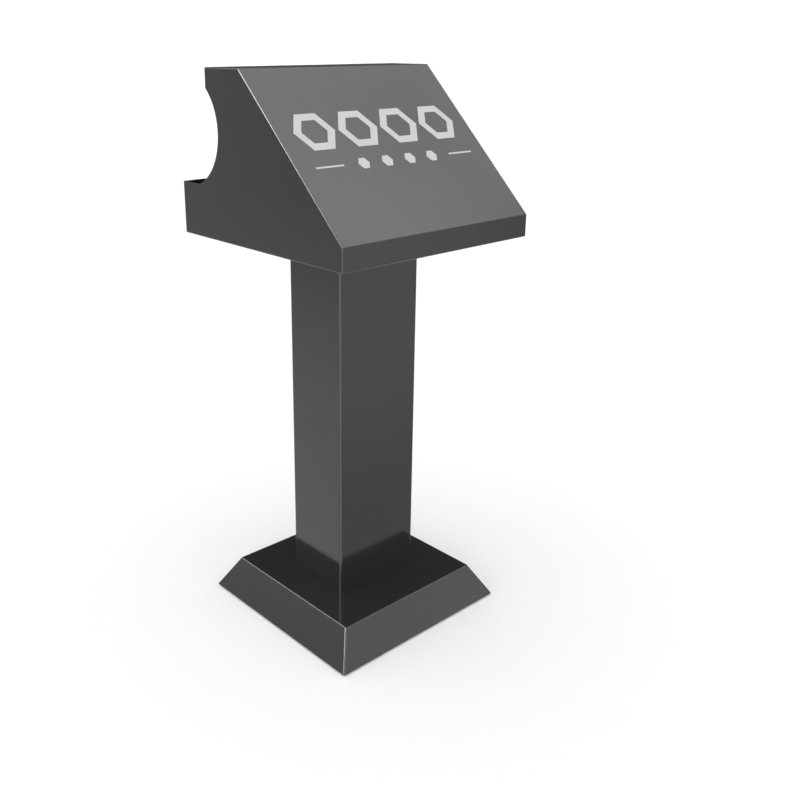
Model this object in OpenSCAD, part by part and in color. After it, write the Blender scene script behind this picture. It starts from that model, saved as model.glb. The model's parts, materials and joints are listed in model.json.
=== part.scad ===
// Gym chalk stand: a lectern-shaped sheet-metal head with a chalk bin and an open back,
// on a rectangular post and a weighted pyramid base.
// The hood faces -Y, hands reach in from +Y, and the origin is on the floor under the
// middle of the post. All sizes are in millimetres.

/* [Overall] */
// Height from the floor to the top of the hood
total_h = 1100; // [1000:10:1320]
// Gap between the floor and the base skirt, held open by the feet
skirt_gap = 3; // [2:0.5:6]

/* [Head] */
// Width of the head, side to side
head_w = 464; // [380:2:560]
// Depth of the head, from the lip to the bin's rear wall
head_d = 466; // [420:2:560]
// Height of the head, from the underside of the bin to the top of the hood
head_h = 311; // [290:1:375]
// Height of the upright lip under the sloping face
lip_h = 43; // [35:1:60]
// Depth of the level top of the hood
top_d = 105; // [80:1:130]
// Height of the bin's rear wall
bin_h = 100; // [96:1:120]
// Depth of the bin that the hood leaves uncovered
bin_open_d = 90; // [70:1:120]
// Height of the header that the hood turns down over the opening
header_h = 35; // [28:1:45]
// Width of the hem turned in along the bottom of the header
hem_w = 12; // [8:1:16]
// Length of level rim behind each side notch
rim_land = 57; // [45:1:65]
// Depth of each side notch, from its chord to the bottom of its arc
notch_depth = 50; // [35:1:60]

/* [Head sheet] */
// Thickness of the head's sheet
sheet_t = 2; // [1.5:0.5:2.5]
// Outside radius of the head's folds
fold_r = 3; // [2.5:0.5:4]
// Width of the flanges turned in round the bottom of the head
flange_w = 20; // [16:1:26]

/* [Head fittings] */
// Width of the stiffening channel behind the sloping face
rib_w = 34; // [26:1:50]
// Depth of the stiffening channel
rib_h = 14; // [10:1:18]
// Distance from the channel's ends to the ends of the sloping face
rib_inset = 30; // [20:1:60]
// Length of the clamp plate in the bin, side to side
clamp_w = 230; // [196:2:260]
// Depth of the clamp plate in the bin
clamp_d = 150; // [136:2:170]
// Thickness of the clamp plate
clamp_t = 5; // [4:0.5:6]
// Width of the two rails that carry the tray
rail_w = 26; // [20:1:34]
// Height of the tray rails
rail_h = 17; // [16:1:20]
// Distance from the middle of the head to the middle of a rail
rail_x = 165; // [135:1:175]
// Height of the angle that stops the tray sliding forward
stop_h = 32; // [24:1:44]
// Length of the stop angle
stop_w = 300; // [200:5:360]

/* [Chalk tray] */
// Height of the tray
tray_h = 66; // [56:1:68]
// Wall and floor thickness of the tray
tray_t = 3; // [2.5:0.5:4]
// Width of the tray's rolled rim, outside its walls
tray_rim = 10; // [8:1:14]
// Outside radius of the tray's upright corners
tray_corner_r = 16; // [10:1:24]
// Length of the finger slot in each side wall of the tray
grip_w = 90; // [75:1:110]
// Height of the finger slots
grip_h = 20; // [16:1:24]
// Height that the tray is lifted by to clear the bin's rear wall
tray_lift = 85; // [84:1:90]

/* [Post] */
// Width of the post, side to side
post_w = 202; // [190:2:242]
// Depth of the post, front to back
post_d = 150; // [138:2:180]
// Wall thickness of the post
post_t = 2.5; // [2:0.5:4]
// Outside radius of the post's upright corners
post_r = 5; // [4:0.5:8]
// Thickness of the plates welded inside the post's ends
end_plate_t = 8; // [6:1:12]

/* [Base] */
// Width of the base at the floor
base_bottom_w = 426; // [400:2:512]
// Width of the base's level top
base_top_w = 348; // [330:2:380]
// Height of the base skirt
base_h = 68; // [62:1:82]
// Thickness of the base's sheet
base_t = 3; // [2:0.5:4]
// Thickness of the plate under the top of the base
stiffener_t = 6; // [4:1:8]
// Length of that plate, side to side
stiffener_w = 260; // [230:2:300]
// Depth of that plate
stiffener_d = 200; // [160:2:240]
// Thickness of the ballast plate
ballast_t = 8; // [6:1:12]
// Height of the ballast plate's underside over the floor
ballast_z = 18; // [17:0.5:20]
// Outside radius of the spacer tubes over the ballast plate
spacer_r = 11; // [9:0.5:14]

/* [Feet] */
// Distance from the middle of the base to the middle of a foot, each way
foot_x = 165; // [140:1:168]
// Radius of a foot's pad
pad_r = 22; // [16:0.5:25]
// Height of a foot's pad
pad_h = 9; // [8:0.5:10]
// Radius of a foot's stud
stud_r = 5; // [4:0.5:6]
// How far a foot screws out
foot_travel = 8; // [4:1:8]

/* [Fasteners] */
// Radius of the bolts that hold the post to the base
base_bolt_r = 6; // [5:0.5:6]
// Radius of the bolts that hold the head to the post
head_bolt_r = 5; // [4:0.5:6]
// Distance between bolts, side to side
bolt_pitch_x = 150; // [130:2:160]
// Distance between bolts, front to back
bolt_pitch_y = 96; // [80:2:104]

/* [Printed badge] */
// Number of hexagons in each row
hex_count = 4; // [2:1:4]
// Width of each large hexagon, across its corners
hex_w = 92; // [60:1:96]
// Width of a large hexagon's ring, at its corners
ring_w = 17; // [8:1:24]
// Distance between the large hexagons' middles
hex_pitch = 100; // [98:1:106]
// Distance of the large hexagons' middles up the sloping face from the lip
hex_up = 234; // [210:1:250]
// Width of each small hexagon, across its corners
dot_w = 26; // [14:1:34]
// Distance between the small hexagons' middles
dot_pitch = 56; // [40:1:60]
// Distance of the small hexagons' middles up the sloping face from the lip
dot_up = 158; // [120:1:170]
// Distance from the middle of the face to the outer end of each rule
rule_end = 192; // [180:1:200]
// Length of the rule at each end of the small row
rule_l = 62; // [30:1:64]
// Width of the rules
rule_w = 3.5; // [2:0.5:6]
// Thickness of the print
print_t = 0.25; // [0.1:0.05:0.5]

/* [Clearances] */
// Gap round the tray's rim inside the bin
tray_gap = 5; // [3:0.5:8]
// Gap between the tray's rim and the rib when the tray is lifted
lift_gap = 6; // [4:0.5:12]
// Gap round a welded plate inside the post
weld_gap = 0.3; // [0.1:0.1:0.5]
// Gap round a bolt in its hole
hole_gap = 0.5; // [0.3:0.1:1]
// Gap between a thread and the nut round it
thread_gap = 0.05; // [0.03:0.01:0.1]
// Gap between a stud's foot and its pad
socket_gap = 0.1; // [0.05:0.05:0.3]
// Gap round the ballast plate inside the skirt
ballast_gap = 1.5; // [1:0.5:4]

/* [Hidden] */
$fn = 48;
cut = 1; // how far a cutting shape reaches past the face that it cuts
fold_bite = 0.02; // a fold's circle is this much bigger than its radius, so that it cuts the flats

steel_grey = "#4b4c4e";
zinc = "#b8babd";
black = "#1d1d1e";
print_grey = "#d8d8d8";

// Levels, from the floor up
base_top_z = skirt_gap + base_h;
head_z = total_h - head_h;
floor_z = head_z + sheet_t;
bin_floor_top = floor_z + sheet_t;
rim_z = head_z + bin_h;
header_z = total_h - header_h;
ballast_top = ballast_z + ballast_t;
stiffener_z = base_top_z - base_t - stiffener_t;

// Front-to-back places in the head
front_y = -head_d / 2;
rear_y = head_d / 2;
hood_rear_y = rear_y - bin_open_d;
slope_top_y = hood_rear_y - top_d;
fold_clear = fold_r - sheet_t; // what stays clear of the hollow side of a fold

// The sloping face
slope_run = slope_top_y - front_y;
slope_rise = head_h - lip_h;
slope_angle = atan2(slope_rise, slope_run);
slope_len = norm([slope_run, slope_rise]);

// Side notch: an arc through the header's lower corner and the end of the rim
notch_top = [hood_rear_y, header_z];
notch_end = [rear_y - rim_land, rim_z];
notch_chord = norm(notch_top - notch_end);
notch_r = (pow(notch_chord / 2, 2) + pow(notch_depth, 2)) / (2 * notch_depth);
notch_out = [notch_top.y - notch_end.y, notch_end.x - notch_top.x] / notch_chord;
notch_centre = (notch_top + notch_end) / 2 + notch_out * (notch_r - notch_depth);

// The tray stands on its rails, as far forward as the rib behind the hood lets it lift out
tray_z = bin_floor_top + rail_h;
tray_top = tray_z + tray_h;
tray_w = head_w - 2 * (sheet_t + tray_gap);
tray_rear_y = rear_y - sheet_t - tray_gap;
tray_front_y = front_y + (tray_top + tray_lift + lift_gap - head_z - lip_h
    + (sheet_t + rib_h) / cos(slope_angle)) * slope_run / slope_rise;
tray_d = tray_rear_y - tray_front_y;
tray_y = (tray_rear_y + tray_front_y) / 2;

// The base skirt leans in by this much for each millimetre of height
skirt_lean = (base_bottom_w - base_top_w) / 2 / base_h;
skirt_wall = base_t * norm([1, skirt_lean]); // measured level

// Hexagon fasteners, as shares of their thread radius
nut_across = 1.8; // half the width across flats is this times half the radius
washer_r = 2.1;
washer_t = 2;
base_head_h = 7.5;
head_head_h = 6.4;
base_nut_h = 10;
head_nut_h = 8;
foot_nut_h = 8;
bolt_end = 3; // length of thread past a nut

// A stud still reaches past its nut when the foot is screwed right out
stud_top = ballast_top + foot_nut_h + foot_travel + 2 * bolt_end;

foot_places = [[-1, -1], [1, -1], [-1, 1], [1, 1]] * foot_x;

// ---- Folded sheet ----

// Heading of the line from a to b.
function heading(a, b) = atan2(b.y - a.y, b.x - a.x);

// Angle that a path turns through to the left at b.
function turn(a, b, c) = (heading(b, c) - heading(a, b) + 360) % 360;

// Length that a fold of radius r takes up along each side of its corner b.
function fold_take(a, b, c, r) = r * tan(turn(a, b, c) / 2);

// Unit vector to the left of the line from a to b.
function left_of(a, b) = [a.y - b.y, b.x - a.x] / norm(b - a);

// Centre of the fold of radius r at the corner b.
function fold_centre(a, b, c, r) =
    b - (b - a) / norm(b - a) * fold_take(a, b, c, r) + left_of(a, b) * r;

// The point t inside corner i of the open path p.
function inside_point(p, i, t) =
    i == 0 ? p[0] + left_of(p[0], p[1]) * t
    : i == len(p) - 1 ? p[i] + left_of(p[i - 1], p[i]) * t
    : let (m = left_of(p[i - 1], p[i]), n = left_of(p[i], p[i + 1])) p[i] + (m + n) * t / (1 + m * n);

// Polygon p, run anticlockwise, with its corners from first to last rounded to r.
module rounded_outline(p, first, last, r) {
    n = len(p);
    difference() {
        polygon(p);
        for (i = [first : last]) {
            a = p[(i + n - 1) % n];
            b = p[i];
            c = p[(i + 1) % n];
            take = fold_take(a, b, c, r);
            centre = fold_centre(a, b, c, r);
            difference() {
                polygon([
                    b + (b - centre),
                    b + (a - b) / norm(a - b) * take,
                    centre,
                    b + (c - b) / norm(c - b) * take
                ]);
                translate(centre) circle(r + fold_bite);
            }
        }
    }
}

// Section of a folded sheet. The path p runs along its outer face and turns only to the left.
module folded_section(p, t = sheet_t, r = fold_r) {
    last = len(p) - 1;
    inner = [for (i = [0 : last]) inside_point(p, i, t)];
    past_mouth = (inner[0] + inner[last]) / 2 - left_of(inner[last], inner[0]) * cut;
    difference() {
        rounded_outline(concat([inner[0]], p, [inner[last]]), 2, last, r);
        rounded_outline(concat(inner, [past_mouth]), 1, last - 1, r - t);
    }
}

// Rectangle with round corners, about the origin.
module rounded_rect(w, d, r) {
    square([w - 2 * r, d], center = true);
    square([w, d - 2 * r], center = true);
    for (x = [-1, 1], y = [-1, 1]) translate([x * (w / 2 - r), y * (d / 2 - r)]) circle(r);
}

// Turns a section drawn in Y and Z into a body of width w, about X = 0.
module across(w) {
    rotate([90, 0, 90]) translate([0, 0, -w / 2]) linear_extrude(w) children();
}

// Turns a section drawn in X and Z into a body from y0 to y1.
module along(y0, y1) {
    translate([0, y1, 0]) rotate([90, 0, 0]) linear_extrude(y1 - y0) children();
}

// Folded channel of width w and height h from y0 to y1, open downwards, its web on top at z.
module channel(w, h, z, y0, y1) {
    along(y0, y1)
        folded_section([[w / 2, z - h], [w / 2, z], [-w / 2, z], [-w / 2, z - h]]);
}

// Moves a shape to the sloping face: X across, Y up the face from the lip, Z outwards.
module on_slope() {
    translate([0, front_y, head_z + lip_h]) rotate([slope_angle, 0, 0]) children();
}

// ---- Fasteners ----

module bolt_places() {
    for (x = [-1, 1], y = [-1, 1]) translate([x * bolt_pitch_x / 2, y * bolt_pitch_y / 2, 0]) children();
}

module foot_at(i) {
    translate([foot_places[i].x, foot_places[i].y, 0]) children();
}

// Hexagonal prism for a thread of radius r.
module hexagon(r, h) {
    cylinder(r = r * nut_across / cos(30), h = h, $fn = 6);
}

// Nut on a thread of radius r.
module nut(r, h) {
    difference() {
        hexagon(r, h);
        translate([0, 0, -cut]) cylinder(r = r + thread_gap, h = h + 2 * cut);
    }
}

module washer(r) {
    difference() {
        cylinder(r = r * washer_r, h = washer_t);
        translate([0, 0, -cut]) cylinder(r = r + hole_gap, h = washer_t + 2 * cut);
    }
}

// Plate about the Z axis from z up, with the four bolt holes for a thread of radius r.
module bolted_plate(w, d, t, z, corner_r, r) {
    difference() {
        translate([0, 0, z]) linear_extrude(t) rounded_rect(w, d, corner_r);
        bolt_places() translate([0, 0, z - cut]) cylinder(r = r + hole_gap, h = t + 2 * cut);
    }
}

// ---- Head ----

// Sloping face, level top, header and lip, folded from one sheet.
module hood_panel() {
    color(steel_grey) across(head_w - 2 * sheet_t)
        folded_section([
            [hood_rear_y - hem_w, header_z],
            [hood_rear_y, header_z],
            [hood_rear_y, total_h],
            [slope_top_y, total_h],
            [front_y, head_z + lip_h],
            [front_y, head_z],
            [front_y + flange_w, head_z]
        ]);
}

// Outline of a side panel in Y and Z, less its notch. Its first three corners lie inside the
// notch's circle, which is cut off level with the rim.
module side_outline() {
    rim_mid = (notch_end.x + rear_y) / 2;
    difference() {
        rounded_outline([
            [rim_mid, rim_z],
            [rim_mid, notch_centre.y],
            [hood_rear_y, notch_centre.y],
            [hood_rear_y, total_h],
            [slope_top_y, total_h],
            [front_y, head_z + lip_h],
            [front_y, head_z],
            [rear_y, head_z],
            [rear_y, rim_z]
        ], 3, 7, fold_r);
        intersection() {
            translate(notch_centre) circle(notch_r, $fn = 96);
            translate([notch_end.x - notch_r, rim_z]) square([4 * notch_r, head_h]);
        }
    }
}

// Side panel at +X: a flat plate with one flange turned in under the bin.
module side_panel() {
    flange_y = head_d / 2 - flange_w - fold_clear;
    difference() {
        translate([head_w / 2 - sheet_t / 2, 0, 0]) across(sheet_t) side_outline();
        translate([head_w / 2 - sheet_t - cut, -flange_y, head_z - cut])
            cube([sheet_t + 2 * cut, 2 * flange_y, 2 * fold_r + cut]);
    }
    along(-flange_y, flange_y)
        folded_section([
            [head_w / 2 - flange_w, head_z],
            [head_w / 2, head_z],
            [head_w / 2, head_z + 2 * fold_r]
        ]);
}

module side_panel_left() {
    color(steel_grey) mirror([1, 0, 0]) side_panel();
}

module side_panel_right() {
    color(steel_grey) side_panel();
}

// Rear wall of the bin, with a flange turned in under it.
module bin_rear_wall() {
    color(steel_grey) across(head_w - 2 * sheet_t)
        folded_section([[rear_y - flange_w, head_z], [rear_y, head_z], [rear_y, rim_z]]);
}

// Floor of the bin, welded down on the flanges.
module bin_floor() {
    color(steel_grey)
        bolted_plate(head_w - 2 * (sheet_t + fold_clear), head_d - 2 * (sheet_t + fold_clear),
            sheet_t, floor_z, fold_r, head_bolt_r);
}

// Channel behind the sloping face, which keeps the big panel from drumming.
module hood_rib() {
    color(steel_grey) on_slope()
        channel(rib_w, rib_h, -sheet_t, rib_inset, slope_len - rib_inset);
}

module clamp_plate() {
    color(zinc) bolted_plate(clamp_w, clamp_d, clamp_t, bin_floor_top, fold_r, head_bolt_r);
}

// Packer that fills the step between the post and the bin floor.
module head_packer() {
    color(steel_grey) bolted_plate(clamp_w, clamp_d, sheet_t, head_z, fold_r, head_bolt_r);
}

module tray_rail(x) {
    color(steel_grey) translate([x, 0, 0])
        channel(rail_w, rail_h, tray_z, tray_front_y + tray_rim, tray_rear_y - tray_rim);
}

module tray_rail_left() {
    tray_rail(-rail_x);
}

module tray_rail_right() {
    tray_rail(rail_x);
}

// Angle in front of the tray and the clamp plate, its foot pointing forwards on the bin floor.
module tray_stop() {
    stop_y = min(tray_front_y - tray_gap, -clamp_d / 2 - hole_gap);
    color(steel_grey) across(stop_w)
        folded_section([
            [stop_y - flange_w, bin_floor_top],
            [stop_y, bin_floor_top],
            [stop_y, bin_floor_top + stop_h]
        ]);
}

module head_bolts() {
    head_under = bin_floor_top + clamp_t + washer_t;
    nut_under = head_z - end_plate_t - head_nut_h;
    color(zinc) bolt_places() {
        translate([0, 0, head_under]) hexagon(head_bolt_r, head_head_h);
        translate([0, 0, nut_under - bolt_end])
            cylinder(r = head_bolt_r, h = head_under - nut_under + bolt_end);
    }
}

module head_washers() {
    color(zinc) bolt_places() translate([0, 0, bin_floor_top + clamp_t]) washer(head_bolt_r);
}

// Lift-out tray with a rolled rim and a finger slot in each side wall.
module chalk_tray() {
    body_w = tray_w - 2 * tray_rim;
    body_d = tray_d - 2 * tray_rim;
    color(black) difference() {
        translate([0, tray_y, tray_z]) {
            linear_extrude(tray_h) rounded_rect(body_w, body_d, tray_corner_r);
            translate([0, 0, tray_h - tray_t]) linear_extrude(tray_t)
                rounded_rect(tray_w, tray_d, tray_corner_r + tray_rim);
        }
        translate([0, tray_y, tray_z + tray_t]) linear_extrude(tray_h)
            rounded_rect(body_w - 2 * tray_t, body_d - 2 * tray_t, tray_corner_r - tray_t);
        translate([0, tray_y, tray_top - 2 * tray_t - grip_h / 2]) across(tray_w + 2 * cut)
            rounded_rect(grip_w, grip_h, grip_h / 2 - 0.01);
    }
}

// Row of hex_count shapes, centred on the origin.
module badge_row(pitch) {
    for (i = [0 : hex_count - 1]) translate([(i - (hex_count - 1) / 2) * pitch, 0]) children();
}

// Printed badge: a row of hexagon rings over a row of small hexagons between two rules.
module front_badge() {
    color(print_grey) on_slope() linear_extrude(print_t) {
        translate([0, hex_up]) badge_row(hex_pitch) difference() {
            circle(hex_w / 2, $fn = 6);
            circle(hex_w / 2 - ring_w, $fn = 6);
        }
        translate([0, dot_up]) {
            badge_row(dot_pitch) circle(dot_w / 2, $fn = 6);
            for (side = [-1, 1]) translate([side * (rule_end - rule_l / 2), 0])
                square([rule_l, rule_w], center = true);
        }
    }
}

// ---- Post ----

module post() {
    color(steel_grey) translate([0, 0, base_top_z]) difference() {
        linear_extrude(head_z - base_top_z) rounded_rect(post_w, post_d, post_r);
        translate([0, 0, -cut]) linear_extrude(head_z - base_top_z + 2 * cut)
            rounded_rect(post_w - 2 * post_t, post_d - 2 * post_t, post_r - post_t);
    }
}

// Plate welded inside an end of the post, from z up.
module end_plate(z, r) {
    inset = post_t + weld_gap;
    bolted_plate(post_w - 2 * inset, post_d - 2 * inset, end_plate_t, z, post_r - post_t, r);
}

module post_head_plate() {
    color(steel_grey) end_plate(head_z - end_plate_t, head_bolt_r);
}

module head_weld_nuts() {
    color(zinc) bolt_places() translate([0, 0, head_z - end_plate_t - head_nut_h])
        nut(head_bolt_r, head_nut_h);
}

module post_foot_plate() {
    color(steel_grey) end_plate(base_top_z, base_bolt_r);
}

module base_weld_nuts() {
    color(zinc) bolt_places() translate([0, 0, base_top_z + end_plate_t])
        nut(base_bolt_r, base_nut_h);
}

// ---- Base ----

// Pyramid between two levels, its sides moved in level by inset.
module pyramid(z0, z1, inset) {
    foot_half = base_bottom_w / 2 - inset - (z0 - skirt_gap) * skirt_lean;
    top_half = base_bottom_w / 2 - inset - (z1 - skirt_gap) * skirt_lean;
    outline = [[-foot_half, z0], [foot_half, z0], [top_half, z1], [-top_half, z1]];
    intersection() {
        across(2 * foot_half) polygon(outline);
        along(-foot_half, foot_half) polygon(outline);
    }
}

// Skirt and level top, welded from sheet and open underneath.
module base_cover() {
    color(steel_grey) difference() {
        pyramid(skirt_gap, base_top_z, 0);
        pyramid(skirt_gap - cut, base_top_z - base_t, skirt_wall);
        bolt_places() translate([0, 0, stiffener_z])
            cylinder(r = base_bolt_r + hole_gap, h = stiffener_t + base_t + cut);
    }
}

module base_stiffener() {
    color(steel_grey)
        bolted_plate(stiffener_w, stiffener_d, stiffener_t, stiffener_z, fold_r, base_bolt_r);
}

// Tubes that carry the top of the base on the ballast plate.
module base_spacers() {
    color(zinc) bolt_places() translate([0, 0, ballast_top]) difference() {
        cylinder(r = spacer_r, h = stiffener_z - ballast_top);
        translate([0, 0, -cut])
            cylinder(r = base_bolt_r + hole_gap, h = stiffener_z - ballast_top + 2 * cut);
    }
}

// Steel plate that weights the base and carries the feet.
module ballast_plate() {
    w = base_bottom_w - 2 * ((ballast_top - skirt_gap) * skirt_lean + skirt_wall + ballast_gap);
    color(steel_grey) difference() {
        bolted_plate(w, w, ballast_t, ballast_z, fold_r, base_bolt_r);
        for (i = [0 : 3]) foot_at(i) translate([0, 0, ballast_z - cut])
            cylinder(r = stud_r + hole_gap, h = ballast_t + 2 * cut);
    }
}

module base_bolts() {
    head_over = ballast_z - washer_t;
    end_z = base_top_z + end_plate_t + base_nut_h + bolt_end;
    color(zinc) bolt_places() {
        translate([0, 0, head_over - base_head_h]) hexagon(base_bolt_r, base_head_h);
        translate([0, 0, head_over]) cylinder(r = base_bolt_r, h = end_z - head_over);
    }
}

module base_washers() {
    color(zinc) bolt_places() translate([0, 0, ballast_z - washer_t]) washer(base_bolt_r);
}

// ---- Feet ----

module foot_weld_nuts() {
    color(zinc) for (i = [0 : 3]) foot_at(i) translate([0, 0, ballast_top]) nut(stud_r, foot_nut_h);
}

stud_foot_r = stud_r + 3; // flange on the lower end of a stud
stud_foot_h = 3.5;
pad_floor_t = 3; // rubber under the stud's flange

module foot_pad(i) {
    color(black) foot_at(i) difference() {
        cylinder(r = pad_r, h = pad_h);
        translate([0, 0, pad_floor_t])
            cylinder(r = stud_foot_r + socket_gap, h = pad_h - pad_floor_t + cut);
    }
}

// Stud with a flange that turns in the pad and a hexagon for a spanner.
module foot_stud(i) {
    flange_z = pad_floor_t + socket_gap;
    color(zinc) foot_at(i) {
        translate([0, 0, flange_z]) cylinder(r = stud_foot_r, h = stud_foot_h);
        translate([0, 0, flange_z]) cylinder(r = stud_r, h = stud_top - flange_z);
        translate([0, 0, flange_z + stud_foot_h]) cylinder(r = stud_foot_r, h = pad_h - flange_z, $fn = 6);
    }
}

module foot_pad_front_left() { foot_pad(0); }
module foot_pad_front_right() { foot_pad(1); }
module foot_pad_rear_left() { foot_pad(2); }
module foot_pad_rear_right() { foot_pad(3); }
module foot_stud_front_left() { foot_stud(0); }
module foot_stud_front_right() { foot_stud(1); }
module foot_stud_rear_left() { foot_stud(2); }
module foot_stud_rear_right() { foot_stud(3); }

hood_panel();
side_panel_left();
side_panel_right();
bin_rear_wall();
bin_floor();
hood_rib();
clamp_plate();
head_packer();
tray_rail_left();
tray_rail_right();
tray_stop();
head_bolts();
head_washers();
chalk_tray();
front_badge();
post();
post_head_plate();
head_weld_nuts();
post_foot_plate();
base_weld_nuts();
base_cover();
base_stiffener();
base_spacers();
ballast_plate();
base_bolts();
base_washers();
foot_weld_nuts();
foot_pad_front_left();
foot_pad_front_right();
foot_pad_rear_left();
foot_pad_rear_right();
foot_stud_front_left();
foot_stud_front_right();
foot_stud_rear_left();
foot_stud_rear_right();
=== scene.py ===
import json
import math

import bpy
import numpy as np
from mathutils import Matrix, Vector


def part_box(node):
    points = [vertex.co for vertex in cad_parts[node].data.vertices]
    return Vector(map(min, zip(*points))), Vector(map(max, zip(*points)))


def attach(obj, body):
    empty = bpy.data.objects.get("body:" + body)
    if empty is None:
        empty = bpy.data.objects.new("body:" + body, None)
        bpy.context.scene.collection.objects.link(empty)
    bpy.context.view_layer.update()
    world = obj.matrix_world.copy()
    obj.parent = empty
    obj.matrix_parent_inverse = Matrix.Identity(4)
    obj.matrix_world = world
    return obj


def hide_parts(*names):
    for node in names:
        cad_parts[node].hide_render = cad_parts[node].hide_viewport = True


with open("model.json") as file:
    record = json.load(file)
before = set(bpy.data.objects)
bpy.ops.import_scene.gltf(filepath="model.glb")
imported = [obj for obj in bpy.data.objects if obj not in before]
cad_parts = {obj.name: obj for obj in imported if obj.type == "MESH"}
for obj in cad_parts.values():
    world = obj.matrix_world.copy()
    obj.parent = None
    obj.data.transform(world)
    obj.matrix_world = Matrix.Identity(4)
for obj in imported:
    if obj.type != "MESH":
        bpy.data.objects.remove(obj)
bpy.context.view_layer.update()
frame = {"nodes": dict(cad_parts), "record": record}

# ---- Base cover ----
# The foot of the stand is a low pyramid of 3 mm steel sheet, open underneath. Its sloping sides are
# welded at the corners and to a level top, the seams are ground round, and it is powder coated.

SKIRT_IN = 0.039  # how much narrower each side is at the top than at the floor
BASE_SHEET = 0.003
BASE_FOLD = 0.003
BASE_INNER_FOLD = 0.001
BASE_EDGE = 0.0007  # rounding of the sheet's cut edge at the floor
BASE_CORNER = 0.004
TOP_RIM = 0.020  # how much of the level top the profile makes; the flat caps fill the rest


def unit(vectors):
    """Each vector over its own length."""
    return vectors / np.linalg.norm(vectors, axis=-1, keepdims=True)


def rounded(corners, radii, steps=9, closed=True):
    """Points, outward normals and mitre vectors of an outline that runs anticlockwise, with an arc at
    each corner. Over an arc the normal turns evenly from one side's to the next side's, and the point
    is a radius from the arc's centre, on the normal's side at an outer corner and on the far side at an
    inner one. The mitre vector is the sum of the two sides' normals over one plus their dot product. An
    open path keeps its two ends as they are, and a corner that doesn't turn keeps one point."""
    corners = np.array(corners, float)
    before = unit(corners - np.roll(corners, 1, 0))
    after = np.roll(before, -1, 0)
    turn = np.arctan2(before[:, 0] * after[:, 1] - before[:, 1] * after[:, 0], (before * after).sum(1))
    swing = np.sign(np.round(turn, 9)) * np.broadcast_to(radii, turn.shape)
    first = np.stack([before[:, 1], -before[:, 0]], 1)
    last = np.stack([after[:, 1], -after[:, 0]], 1)
    setback = np.abs(swing) * np.tan(np.abs(turn) / 2)
    centre = corners - before * setback[:, None] - first * swing[:, None]
    heading = np.arctan2(first[:, 1], first[:, 0])[:, None] + turn[:, None] * np.linspace(0, 1, steps)
    normals = np.stack([np.cos(heading), np.sin(heading)], 2)
    points = centre[:, None] + normals * swing[:, None, None]
    flat = np.maximum(1 + (first * last).sum(1), 1e-6)[:, None]
    mitres = np.repeat(((first + last) / flat)[:, None], steps, 1)
    kept = (np.abs(turn) > 1e-9)[:, None] | (np.arange(steps) == 0)
    if not closed:
        kept[0] = np.arange(steps) == steps - 1
        kept[-1] = np.arange(steps) == 0
    return points[kept], normals[kept], mitres[kept]


def carried(outline, profile, mitred=False):
    """Grid of points and normals of a profile carried round an outline: row by row along the profile,
    column by column round the outline. A point is the outline's point plus the profile's offset times
    the outline's normal (or its mitre vector), and its third coordinate is the profile's height. Its
    normal joins the outline's normal times the profile's first share with the profile's second."""
    (plan, out, mitre), (section, face, _) = outline, profile
    along = mitre if mitred else out
    level = plan + along * section[:, None, :1]
    height = np.broadcast_to(section[:, None, 1:], level.shape[:2] + (1,))
    lean = face[:, None, 1:] * (along * out).sum(1)[:, None]
    return np.concatenate([level, height], 2), unit(np.concatenate([out * face[:, None, :1], lean], 2))


def grid_faces(rows, columns, ring):
    """Four-sided faces of a grid whose points are numbered row by row. The columns close on themselves,
    and so do the rows of a ring. Faces run anticlockwise as seen from outside."""
    i = np.arange(rows if ring else rows - 1)[:, None] * columns
    above = (i + columns) % (rows * columns)
    j = np.arange(columns)
    beside = (j + 1) % columns
    return np.stack([i + j, i + beside, above + beside, above + j], 2).reshape(-1, 4)


def made(name, points, normals, faces, material):
    """New object at the origin whose mesh is shaded with the surface's own normals."""
    mesh = bpy.data.meshes.new(name)
    mesh.from_pydata(points.tolist(), [], faces)
    mesh.materials.append(material)
    mesh.shade_smooth()
    mesh.normals_split_custom_set_from_vertices(normals.tolist())
    piece = bpy.data.objects.new(name, mesh)
    bpy.context.scene.collection.objects.link(piece)
    return piece


def shell(name, grid, material, ring=False, turned=0, flipped=False):
    """Closed piece from a grid of points and normals. Unless the rows are a ring, the first row and the
    last one are closed by flat caps. turned moves the coordinates on by that many places, so that one
    step turns the grid's third coordinate into X and two steps turn it into Y. flipped mirrors the
    piece from one side of the stand to the other, and turns its faces back."""
    rows, columns = grid[0].shape[:2]
    points, normals = (np.roll(part.reshape(-1, 3), turned, 1) for part in grid)
    faces = grid_faces(rows, columns, ring).tolist()
    if not ring:
        faces.append(list(range(columns))[::-1])
        faces.append(list(range((rows - 1) * columns, rows * columns)))
    if flipped:
        points = points * (-1, 1, 1)
        normals = normals * (-1, 1, 1)
        faces = [face[::-1] for face in faces]
    return made(name, points, normals, faces, material)


def rectangle(half_x, half_y, radius, steps=9, centre=(0, 0)):
    """Outline of a rectangle with round corners."""
    x, y = centre
    corners = [
        (x - half_x, y - half_y), (x + half_x, y - half_y),
        (x + half_x, y + half_y), (x - half_x, y + half_y)]
    return rounded(corners, radius, steps)


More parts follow.
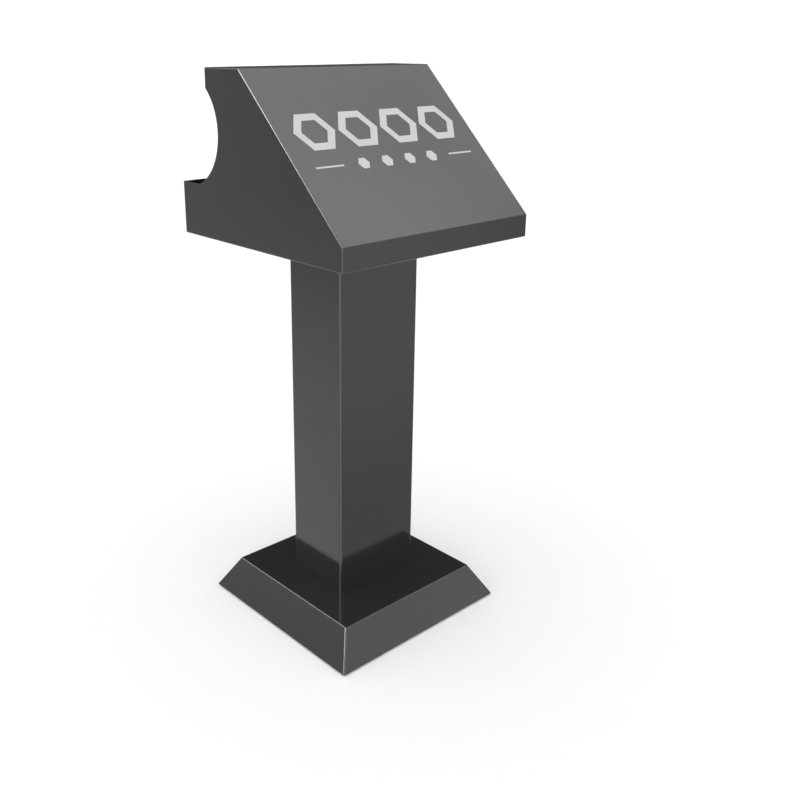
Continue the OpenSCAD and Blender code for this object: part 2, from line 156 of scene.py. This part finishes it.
def finish(name, tones, patch, gloss, relief, **values):
    """Material on object coordinates. Its colour drifts between two tones and its roughness between two
    values over soft patches of a given size, and a fine noise of a second size, strength and depth
    bumps its surface. The other values go straight to the shader's sockets of those names."""
    material = bpy.data.materials.new(name)
    material.use_nodes = True
    nodes = material.node_tree.nodes
    link = material.node_tree.links.new
    shader = nodes["Principled BSDF"]
    place = nodes.new("ShaderNodeTexCoord").outputs["Object"]
    cloud = nodes.new("ShaderNodeTexNoise")
    cloud.inputs["Scale"].default_value = 1 / patch
    cloud.inputs["Detail"].default_value = 3
    link(place, cloud.inputs["Vector"])
    colour = nodes.new("ShaderNodeMix")
    colour.data_type = "RGBA"
    colour.inputs["A"].default_value = (*tones[0], 1)
    colour.inputs["B"].default_value = (*tones[1], 1)
    link(cloud.outputs["Fac"], colour.inputs["Factor"])
    link(colour.outputs["Result"], shader.inputs["Base Color"])
    rough = nodes.new("ShaderNodeMapRange")
    rough.inputs["To Min"].default_value = gloss[0]
    rough.inputs["To Max"].default_value = gloss[1]
    link(cloud.outputs["Fac"], rough.inputs["Value"])
    link(rough.outputs["Result"], shader.inputs["Roughness"])
    size, strength, depth = relief
    grain = nodes.new("ShaderNodeTexNoise")
    grain.inputs["Scale"].default_value = 1 / size
    grain.inputs["Detail"].default_value = 2
    link(place, grain.inputs["Vector"])
    bump = nodes.new("ShaderNodeBump")
    bump.inputs["Strength"].default_value = strength
    bump.inputs["Distance"].default_value = depth
    link(grain.outputs["Fac"], bump.inputs["Height"])
    link(bump.outputs["Normal"], shader.inputs["Normal"])
    for socket, value in values.items():
        shader.inputs[socket.replace("_", " ")].default_value = value
    return material


powder_coat = finish(
    "powder_coat", tones=((0.0145, 0.0148, 0.0152), (0.0175, 0.0178, 0.0184)), patch=0.08,
    gloss=(0.10, 0.12), relief=(0.0022, 0.05, 0.0001), IOR=1.5)

base_low, base_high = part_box("base_cover")
# Horizontal thickness of the sloping sheet: its own thickness over the cosine of its lean.
base_wall = BASE_SHEET * math.hypot(1, SKIRT_IN / (base_high.z - base_low.z))
base_profile = rounded(
    [(-SKIRT_IN - TOP_RIM, base_high.z - BASE_SHEET), (-SKIRT_IN - base_wall, base_high.z - BASE_SHEET),
     (-base_wall, base_low.z), (0, base_low.z),
     (-SKIRT_IN, base_high.z), (-SKIRT_IN - TOP_RIM, base_high.z)],
    [0, BASE_INNER_FOLD, BASE_EDGE, BASE_EDGE, BASE_FOLD, 0], closed=False)
base_plan = rectangle(base_high.x, base_high.y, BASE_CORNER)
base = shell("base_cover_shell", carried(base_plan, base_profile, mitred=True), powder_coat)
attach(base, "stand")
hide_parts("base_cover")

# ---- Post ----
# A rectangular steel tube with a 2.5 mm wall and round corners. It stands on the base, closed at both
# ends by plates welded inside it, and has the same powder coat.

POST_WALL = 0.0025
POST_CORNER = 0.005
TUBE_END = 0.0003  # rounding of the tube's cut ends

post_low, post_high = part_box("post")
post_profile = rounded(
    [(0, post_low.z), (0, post_high.z), (-POST_WALL, post_high.z), (-POST_WALL, post_low.z)],
    TUBE_END, steps=5)
post_plan = rectangle(post_high.x, post_high.y, POST_CORNER)
post = shell("post_tube", carried(post_plan, post_profile), powder_coat, ring=True)
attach(post, "stand")
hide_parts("post")

# ---- Side panels ----
# Each side of the head is one panel of 2 mm sheet, laser cut with a round notch at the back. Its edges
# are rolled over to meet the hood, and its foot is folded in under the bin. The notch and the rim
# behind it are plain cut edges with the burr taken off.

HEAD_SHEET = 0.002
CORNER = 0.003  # rounding of the panel's outline
ROLL = 0.0028  # outside radius of the rolled edge
SEAM_IN = 0.003  # how far in from the side the rolled edge meets the hood
SEAM_END = 0.00005  # rounding of the sheet's end at that seam
FLANGE_END = 0.0004  # the same where the sheet is turned in under the bin
LIP_H = 0.043
TOP_D = 0.105
HEADER_H = 0.035
RIM_LAND = 0.057
NOTCH_DEPTH = 0.050
FLANGE = 0.020
FLANGE_CUT = 0.001  # clearance between two flanges at a corner
BURR = 0.0006  # rounding of a plain cut edge
NOTCH_SHARE = 0.99  # share of its radius that the notch's arc has, to leave its tangents some length

side_low, side_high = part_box("side_panel_right")
hood_low, hood_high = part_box("hood_panel")
rear_low, rear_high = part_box("bin_rear_wall")
rim_z = rear_high.z
slope_top = (hood_high.y - TOP_D, hood_high.z)
slope_foot = (hood_low.y, hood_low.z + LIP_H)
header_z = hood_high.z - HEADER_H

# The notch is an arc over a chord from the header's corner to the rim. The tangents at the arc's ends
# meet on the line from its centre through the chord's middle, at the square of the radius over that
# middle's distance from the centre.
chord = np.array([(hood_high.y, header_z), (side_high.y - RIM_LAND, rim_z)])
chord_middle = chord.mean(0)
half_chord = np.linalg.norm(chord[0] - chord_middle)
notch_radius = (half_chord**2 + NOTCH_DEPTH**2) / (2 * NOTCH_DEPTH)
notch_in = unit(np.array([chord[1, 1] - chord[0, 1], chord[0, 0] - chord[1, 0]]))
to_chord = notch_radius - NOTCH_DEPTH
tangents_meet = chord_middle + notch_in * (notch_radius**2 / to_chord - to_chord)

flange_stop = FLANGE + FLANGE_CUT
# One row per corner: its place, its radius, how far its edge is rolled before and after it, and the
# reach of the turned-in edge.
panel_corners = np.array([
    (side_low.y, side_low.z, CORNER, 1, 1, SEAM_IN),
    (side_low.y + flange_stop - FLANGE_CUT / 2, side_low.z, 0, 1, 1, SEAM_IN),
    (side_low.y + flange_stop, side_low.z, 0, 1, 1, FLANGE),
    (side_high.y - flange_stop, side_low.z, 0, 1, 1, FLANGE),
    (side_high.y - flange_stop + FLANGE_CUT / 2, side_low.z, 0, 1, 1, SEAM_IN),
    (side_high.y, side_low.z, CORNER, 1, 1, SEAM_IN),
    (side_high.y, rim_z, CORNER, 1, 0, SEAM_IN),
    (*chord[1], CORNER, 0, 0, SEAM_IN),
    (*tangents_meet, NOTCH_SHARE * notch_radius, 0, 0, SEAM_IN),
    (*chord[0], CORNER, 0, 1, SEAM_IN),
    (hood_high.y, hood_high.z, CORNER, 1, 1, SEAM_IN),
    (*slope_top, CORNER, 1, 1, SEAM_IN),
    (*slope_foot, CORNER, 1, 1, SEAM_IN)])


def panel_grid(corners, outer_x):
    """Grid of a side panel: a rolled or a plain cut edge carried round the outline in Y and Z, the two
    blended by each column's share. Both edges run from the inner face round to the outer one. The
    rolled one is an inner arc, the end of the turned-in sheet and an outer arc about one centre; the
    plain one is two small arcs and the flat between them."""
    steps = 33
    plan, out, _ = rounded(corners[:, :2], corners[:, 2], steps)
    straight = np.isin(corners[:, 2], 0)
    columns = np.repeat(np.arange(len(corners)), np.where(straight, 1, steps))
    share = np.concatenate([np.linspace(0, 1, 1 if s else steps) for s in straight])
    rolled = corners[columns, 3] + (corners[columns, 4] - corners[columns, 3]) * share
    reach = corners[columns, 5]
    end = np.where(reach > SEAM_IN, FLANGE_END, SEAM_END)
    arc = np.linspace(0, math.pi / 2, 9)[:, None]
    turn = np.linspace(0, math.pi / 2, 5)[:, None]
    same = np.ones_like(reach)
    inner = ROLL - HEAD_SHEET
    roll = [
        ((ROLL - inner * np.sin(arc)) * same, (outer_x - ROLL + inner * np.cos(arc)) * same,
         -np.sin(arc) * same, -np.cos(arc) * same),
        (HEAD_SHEET - end * (1 - np.cos(turn)), outer_x - reach + end * (1 - np.sin(turn)),
         -np.cos(turn) * same, -np.sin(turn) * same),
        (end * (1 - np.sin(turn)), outer_x - reach + end * (1 - np.cos(turn)),
         np.sin(turn) * same, -np.cos(turn) * same),
        (ROLL * (1 - np.cos(arc)) * same, (outer_x - ROLL * (1 - np.sin(arc))) * same,
         np.cos(arc) * same, np.sin(arc) * same)]
    edge = np.linspace(0, 1, 10)[:, None]
    cut = [
        (BURR * (1 - np.sin(arc)) * same, (outer_x - HEAD_SHEET + BURR * (1 - np.cos(arc))) * same,
         np.sin(arc) * same, -np.cos(arc) * same),
        (0 * edge * same, (outer_x - HEAD_SHEET + BURR + (HEAD_SHEET - 2 * BURR) * edge) * same,
         1 + 0 * edge * same, 0 * edge * same),
        (BURR * (1 - np.cos(arc)) * same, (outer_x - BURR * (1 - np.sin(arc))) * same,
         np.cos(arc) * same, np.sin(arc) * same)]
    roll = np.stack([np.concatenate(part) for part in zip(*roll)])
    cut = np.stack([np.concatenate(part) for part in zip(*cut)])
    inwards, x, outwards, across = cut + (roll - cut) * rolled
    across = across - rolled * (1 - rolled)
    level = plan - out * inwards[..., None]
    points = np.concatenate([level, x[..., None]], 2)
    normals = unit(np.concatenate([out * outwards[..., None], across[..., None]], 2))
    return points, normals


panel = panel_grid(panel_corners, side_high.x)
for side in ("left", "right"):
    side_panel = shell(f"side_panel_{side}_sheet", panel, powder_coat, turned=1, flipped=side == "left")
    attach(side_panel, "stand")
    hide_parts(f"side_panel_{side}")

# ---- Hood panel ----
# The sloping face, the level top, the header that turns down over the opening, the upright lip and the
# flange under it are one sheet, folded on a press brake and welded to both side panels.

FOLD = 0.003  # outside radius of a fold
HEM = 0.012
SEAM_EDGE = 0.00003  # rounding of the sheet's ends where they meet the side panels
CAP_IN = 0.00005  # how far in past its rounded edge a bar's end face starts, where its flat cap ends


def folded(path, thickness, radius, edge):
    """Outline of a folded sheet's section. The path runs along the sheet's outer face and turns only to
    the left. The inner face is the same path moved in by the thickness along its mitre vectors, the
    folds are round, and the two cut ends have small round edges."""
    path = np.array(path, float)
    side = unit(np.diff(path, axis=0))
    normal = np.stack([side[:, 1], -side[:, 0]], 1)
    first, last = normal[[0, *range(len(normal))]], normal[[*range(len(normal)), -1]]
    inner = path - (first + last) / (1 + (first * last).sum(1))[:, None] * thickness
    folds = len(path) - 2
    radii = [edge] + [radius] * folds + [edge, edge] + [radius - thickness] * folds + [edge]
    return rounded(np.concatenate([path, inner[::-1]]), radii)


def bar(half_length, edge):
    """Profile of a bar with round-edged ends: it starts just inside one end, goes out to the bar's
    surface, runs along it and turns in again at the other end."""
    inside = -edge - CAP_IN
    path = [(inside, -half_length), (0, -half_length), (0, half_length), (inside, half_length)]
    return rounded(path, [0, edge, edge, 0], steps=5, closed=False)


seam_x = side_high.x - SEAM_IN
hood_section = folded(
    [(hood_high.y - HEM, header_z), (hood_high.y, header_z), (hood_high.y, hood_high.z),
     slope_top, slope_foot, (hood_low.y, hood_low.z), (hood_low.y + FLANGE, hood_low.z)],
    HEAD_SHEET, FOLD, BURR)
hood = shell("hood_sheet", carried(hood_section, bar(seam_x, SEAM_EDGE)), powder_coat, turned=1)
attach(hood, "stand")
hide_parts("hood_panel")

# ---- Rear wall of the bin ----
# A low wall of the same sheet, with a flange folded in under the bin and a plain cut rim. It is welded
# between the two side panels and ground flush.

rear_section = folded(
    [(rear_high.y - FLANGE, rear_low.z), (rear_high.y, rear_low.z), (rear_high.y, rim_z)],
    HEAD_SHEET, FOLD, BURR)
rear_wall = shell("bin_rear_sheet", carried(rear_section, bar(seam_x, SEAM_EDGE)), powder_coat, turned=1)
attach(rear_wall, "stand")
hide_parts("bin_rear_wall")

# ---- Chalk tray ----
# A lift-out tray moulded in black plastic, with a fine spark-eroded grain. Its rim is rolled outwards
# and down, its corners are well rounded, and each side wall has a slot for the fingers. Its near-black
# tone is partly the plastic's own colour and partly painted shade for the dark inside of the bin.

TRAY_WALL = 0.003
TRAY_RIM = 0.010
RIM_DROP = 0.007
RIM_HEM = 0.0025  # thickness of the rim's turned-down edge
TRAY_CORNER = 0.016
FLOOR_CORNER = 0.002  # what is left of that radius where the flat caps of the floor begin
GRIP_L = 0.090
GRIP_H = 0.020
GRIP_EDGE = 0.0006
GRIP_LAND = 0.0008  # how far round a slot its rounded edge reaches
GRIP_FLAT = 0.00001  # how much smaller the radius of a slot's end is than half its height

# Near-black tones: partly the black plastic, partly painted shade for the unlit inside of the bin below
# the rims.
tray_plastic = finish(
    "tray_plastic", tones=((0.010, 0.010, 0.011), (0.016, 0.016, 0.017)), patch=0.03,
    gloss=(0.42, 0.52), relief=(0.0006, 0.35, 0.0001), IOR=1.46)
tray_low, tray_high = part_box("chalk_tray")
tray_half_x = tray_high.x - TRAY_RIM
tray_half_y = (tray_high.y - tray_low.y) / 2 - TRAY_RIM
tray_y = (tray_high.y + tray_low.y) / 2
inset = -TRAY_CORNER + FLOOR_CORNER
# One row per corner of the wall's section: its place and its rounding. It starts under the floor, goes
# up the outside and round the rim, and comes down the inside.
tray_corners = np.array([
    (inset, tray_low.z, 0),
    (0, tray_low.z, 0.006),
    (0, tray_high.z - TRAY_WALL, 0.0015),
    (TRAY_RIM - RIM_HEM, tray_high.z - TRAY_WALL, 0.001),
    (TRAY_RIM - RIM_HEM, tray_high.z - RIM_DROP, 0.0007),
    (TRAY_RIM, tray_high.z - RIM_DROP, 0.0007),
    (TRAY_RIM, tray_high.z, 0.0022),
    (-TRAY_WALL, tray_high.z, 0.0014),
    (-TRAY_WALL, tray_low.z + TRAY_WALL, 0.005),
    (inset, tray_low.z + TRAY_WALL, 0)])
tray_profile = rounded(tray_corners[:, :2], tray_corners[:, 2], steps=7, closed=False)
tray_plan = rectangle(tray_half_x, tray_half_y, TRAY_CORNER, centre=(0, tray_y))
tray_points, tray_normals = carried(tray_plan, tray_profile)
rows, columns = tray_points.shape[:2]
tray_points = tray_points.reshape(-1, 3)
tray_normals = tray_normals.reshape(-1, 3)
tray_faces = grid_faces(rows, columns, False).tolist()
tray_faces.append(list(range(columns))[::-1])
tray_faces.append(list(range((rows - 1) * columns, rows * columns)))

grip_z = tray_high.z - 2 * TRAY_WALL - GRIP_H / 2
grip_plan = rectangle(GRIP_L / 2, GRIP_H / 2, GRIP_H / 2 - GRIP_FLAT, steps=13, centre=(tray_y, grip_z))
grip_in = tray_half_x - TRAY_WALL
grip_profile = rounded(
    [(GRIP_LAND, tray_half_x), (0, tray_half_x), (0, grip_in), (GRIP_LAND, grip_in)],
    [0, GRIP_EDGE, GRIP_EDGE, 0], steps=5, closed=False)
grip_points, grip_normals = (np.roll(part, 1, 2) for part in carried(grip_plan, grip_profile))
# A slot is cut in the section's two longest steps: the rise of the wall's outside and the fall inside.
climb = np.diff(tray_profile[0][:, 1])


def pierced(wall, near, far):
    """Faces of a four-sided wall with a hole. One half of the hole's edge runs beside the wall's first
    side, in its direction, and the other half runs beside the third."""
    a, b, c, d = wall
    return [[a, b, *near[::-1]], [c, d, *far[::-1]], [b, c, far[0], near[-1]], [d, a, near[0], far[-1]]]


# The right wall's flat lies in the middle column of the outline's faces and the left wall's in the last.
for side, column in ((1, columns // 2 - 1), (-1, columns - 1)):
    edge = np.arange(grip_points[..., 0].size).reshape(grip_points.shape[:2]) + len(tray_points)
    bore = grid_faces(*edge.shape, False) + len(tray_points)
    tray_faces += bore[:, ::side].tolist()
    tray_points = np.concatenate([tray_points, grip_points.reshape(-1, 3) * (side, 1, 1)])
    tray_normals = np.concatenate([tray_normals, grip_normals.reshape(-1, 3) * (side, 1, 1)])
    under, over = np.split(edge[[0, -1]], 2, axis=1)
    for row, near, far, turn in (
            (climb.argmax(), under[0], over[0], side), (climb.argmin(), over[1], under[1], -side)):
        wall = row * columns + column
        pieces = pierced(tray_faces[wall], near[::turn].tolist(), far[::turn].tolist())
        tray_faces[wall] = pieces[0]
        tray_faces += pieces[1:]
tray = made("chalk_tray_moulding", tray_points, tray_normals, tray_faces, tray_plastic)
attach(tray, "tray")
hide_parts("chalk_tray")

# ---- Foot pads ----
# Four round rubber feet hidden inside the skirt, moulded with round edges. Each has a socket in which
# the flange of its threaded stud turns.

PAD_FLOOR = 0.003
PAD_HUB = 0.002  # radius of the flat caps at the pad's middle
PAD_FOOT = 0.0015
PAD_SHOULDER = 0.001
SOCKET_GAP = 0.0001
SOCKET_EDGE = 0.0005
SOCKET_FILLET = 0.0003
ROUNDNESS = 0.9999  # share of a square's half side that its round corners take up, to make a circle
rubber = finish(
    "foot_rubber", tones=((0.012, 0.012, 0.012), (0.020, 0.020, 0.020)), patch=0.01,
    gloss=(0.6, 0.75), relief=(0.0007, 0.4, 0.0001), IOR=1.45)
for corner in ("front_left", "front_right", "rear_left", "rear_right"):
    pad_low, pad_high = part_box(f"foot_pad_{corner}")
    stud_low, stud_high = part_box(f"foot_stud_{corner}")
    pad_radius = (pad_high.x - pad_low.x) / 2
    socket = (stud_high.x - stud_low.x) / 2 + SOCKET_GAP - pad_radius
    hub = PAD_HUB - pad_radius
    pad_profile = rounded(
        [(hub, pad_low.z), (0, pad_low.z), (0, pad_high.z),
         (socket, pad_high.z), (socket, pad_low.z + PAD_FLOOR), (hub, pad_low.z + PAD_FLOOR)],
        [0, PAD_FOOT, PAD_SHOULDER, SOCKET_EDGE, SOCKET_FILLET, 0], steps=7, closed=False)
    pad_middle = (pad_low.x + pad_high.x) / 2, (pad_low.y + pad_high.y) / 2
    pad_plan = rectangle(pad_radius, pad_radius, ROUNDNESS * pad_radius, steps=17, centre=pad_middle)
    pad = shell(f"foot_pad_{corner}_rubber", carried(pad_plan, pad_profile), rubber)
    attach(pad, f"pad_{corner}")
    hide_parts(f"foot_pad_{corner}")

# ---- Carried-over fittings ----
# The hidden plates, rails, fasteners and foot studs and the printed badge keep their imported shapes. They
# get primer on welded plates, zinc on fasteners, a pale grey ink on the badge, and powder coat on sheet
# that is welded in before coating.

primer = finish(
    "primer", tones=((0.024, 0.024, 0.026), (0.038, 0.038, 0.040)), patch=0.02,
    gloss=(0.45, 0.6), relief=(0.0012, 0.3, 0.0002), IOR=1.5)
zinc = finish(
    "zinc_plate", tones=((0.48, 0.49, 0.51), (0.60, 0.61, 0.63)), patch=0.004,
    gloss=(0.22, 0.42), relief=(0.0008, 0.12, 0.0001), Metallic=1.0)
print_ink = finish(
    "badge_print", tones=((0.43, 0.43, 0.44), (0.47, 0.47, 0.48)), patch=0.012,
    gloss=(0.32, 0.42), relief=(0.0015, 0.06, 0.0001), IOR=1.5)
finishes = {
    "powder_coat": powder_coat, "primer": primer, "zinc_plate": zinc, "tray_plastic": tray_plastic,
    "foot_rubber": rubber, "badge_print": print_ink}
for row in frame["record"]["subparts"]:
    node = frame["nodes"][row["node"]]
    node.data.materials.clear()
    node.data.materials.append(finishes[row["material_slot"]])

# ---- Camera ----
# A normal lens level with the top of the stand, in front of it and to its left, tipped down towards the
# base. The small shift keeps the stand off the frame's middle.

camera = bpy.data.objects.new("camera", bpy.data.cameras.new("camera"))
bpy.context.scene.collection.objects.link(camera)
camera.location = (-1.1901, -1.3378, 1.1454)
camera.rotation_euler = (math.radians(71.712), 0, math.radians(-41.409))
camera.data.sensor_width = 36
camera.data.lens = 42.19
camera.data.shift_x = 0.0625
camera.data.shift_y = -0.0625
camera.data.clip_end = 200
bpy.context.scene.camera = camera

# ---- Studio ----
# A seamless white floor under a white sky that is brighter overhead and a little to the left and front.
# What shines in the coating is a room: a pale ceiling, a dim horizon, a dark end wall and a few lights.

bpy.context.scene.view_settings.view_transform = "Standard"
FLOOR_HALF = 40
floor_paper = finish(
    "floor_paper", tones=((0.86, 0.86, 0.86), (0.88, 0.88, 0.88)), patch=0.5,
    gloss=(0.9, 1.0), relief=(0.002, 0.02, 0.0001))
floor_corners = [(x * FLOOR_HALF, y * FLOOR_HALF, 0) for x, y in ((-1, -1), (1, -1), (1, 1), (-1, 1))]
mesh = bpy.data.meshes.new("floor")
mesh.from_pydata(floor_corners, [], [(0, 1, 2, 3)])
mesh.materials.append(floor_paper)
floor = bpy.data.objects.new("floor", mesh)
bpy.context.scene.collection.objects.link(floor)
floor.visible_glossy = False

# Radiance that shines in the coating, by height over the horizon (the sine of the elevation).
shine = [
    (-1.0, 2.4), (-0.6, 0.7), (0.05, 0.58), (0.28, 1.35), (0.42, 1.3), (0.56, 1.2),
    (0.63, 1.9), (0.71, 1.77), (0.81, 2.45), (0.86, 2.6), (0.92, 4.0), (1.0, 6.0)]
# Patches of the room laid over that in turn: the direction of the middle, the angles from it in degrees
# where the patch is full and where it ends, and its radiance.
room = [
    ((0.60, 0.68, 0.25), 28, 45, 0.09),
    ((-0.70, -0.62, 0.30), 30, 80, 2.8),
    ((0.56, -0.80, -0.20), 6, 18, 1.15),
    ((0.56, -0.80, 0.24), 6, 20, 1.6),
    ((-0.60, 0.55, -0.70), 14, 34, 1.1),
    ((0.58, -0.30, 0.757), 6, 16, 3.0),
    ((-0.20, 0.66, 0.73), 7, 17, 9.0),
    ((-0.77, 0.20, 0.60), 7, 17, 34.0),
    ((-0.92, 0.15, 0.28), 9, 16, 2.0)]
SKY = 0.835  # radiance of the sky that lights the floor and the stand
SKY_LEAN = (-0.42, -0.15, 0.54)  # how much the sky gains towards each axis
WHITE = 1.2  # radiance of the sky as the camera sees it
world = bpy.data.worlds.new("studio")
bpy.context.scene.world = world
world.use_nodes = True
nodes = world.node_tree.nodes
link = world.node_tree.links.new
background = nodes["Background"]
background.inputs["Color"].default_value = (1, 1, 1, 1)
heading = nodes.new("ShaderNodeTexCoord").outputs["Generated"]


def arithmetic(operation, value, *others):
    """Result of an operation on a socket and one or two numbers."""
    node = nodes.new("ShaderNodeMath")
    node.operation = operation
    link(value, node.inputs[0])
    for slot, other in enumerate(others, 1):
        node.inputs[slot].default_value = other
    return node.outputs["Value"]


def towards(direction):
    """Dot product of the ray's heading and a direction."""
    product = nodes.new("ShaderNodeVectorMath")
    product.operation = "DOT_PRODUCT"
    product.inputs[1].default_value = direction
    link(heading, product.inputs[0])
    return product.outputs["Value"]


def mixed(share, first, second):
    """First value or socket at a share of 0 and the second at 1."""
    node = nodes.new("ShaderNodeMix")
    node.data_type = "FLOAT"
    link(share, node.inputs["Factor"])
    link(first, node.inputs["A"])
    if isinstance(second, float):
        node.inputs["B"].default_value = second
    else:
        link(second, node.inputs["B"])
    return node.outputs["Result"]


curve = nodes.new("ShaderNodeFloatCurve")
points = curve.mapping.curves[0].points
brightest = max(value for _, value in shine)
for _ in shine[2:]:
    points.new(0.5, 0.5)
for point, (place, value) in zip(points, shine):
    point.location = ((place + 1) / 2, value / brightest)
    point.handle_type = "VECTOR"
curve.mapping.update()
link(arithmetic("MULTIPLY_ADD", towards((0, 0, 1)), 0.5, 0.5), curve.inputs["Value"])
shining = arithmetic("MULTIPLY", curve.outputs["Value"], brightest)
for direction, full, none, radiance in room:
    patch = nodes.new("ShaderNodeMapRange")
    patch.interpolation_type = "SMOOTHSTEP"
    patch.inputs["From Min"].default_value = math.cos(math.radians(none))
    patch.inputs["From Max"].default_value = math.cos(math.radians(full))
    link(towards(unit(np.array(direction, float))), patch.inputs["Value"])
    shining = mixed(patch.outputs["Result"], shining, radiance)
ray = nodes.new("ShaderNodeLightPath").outputs
plain = arithmetic("MULTIPLY", ray["Is Camera Ray"], WHITE)
lit = mixed(ray["Is Diffuse Ray"], plain, arithmetic("ADD", towards(SKY_LEAN), SKY))
link(mixed(ray["Is Glossy Ray"], lit, shining), background.inputs["Strength"])
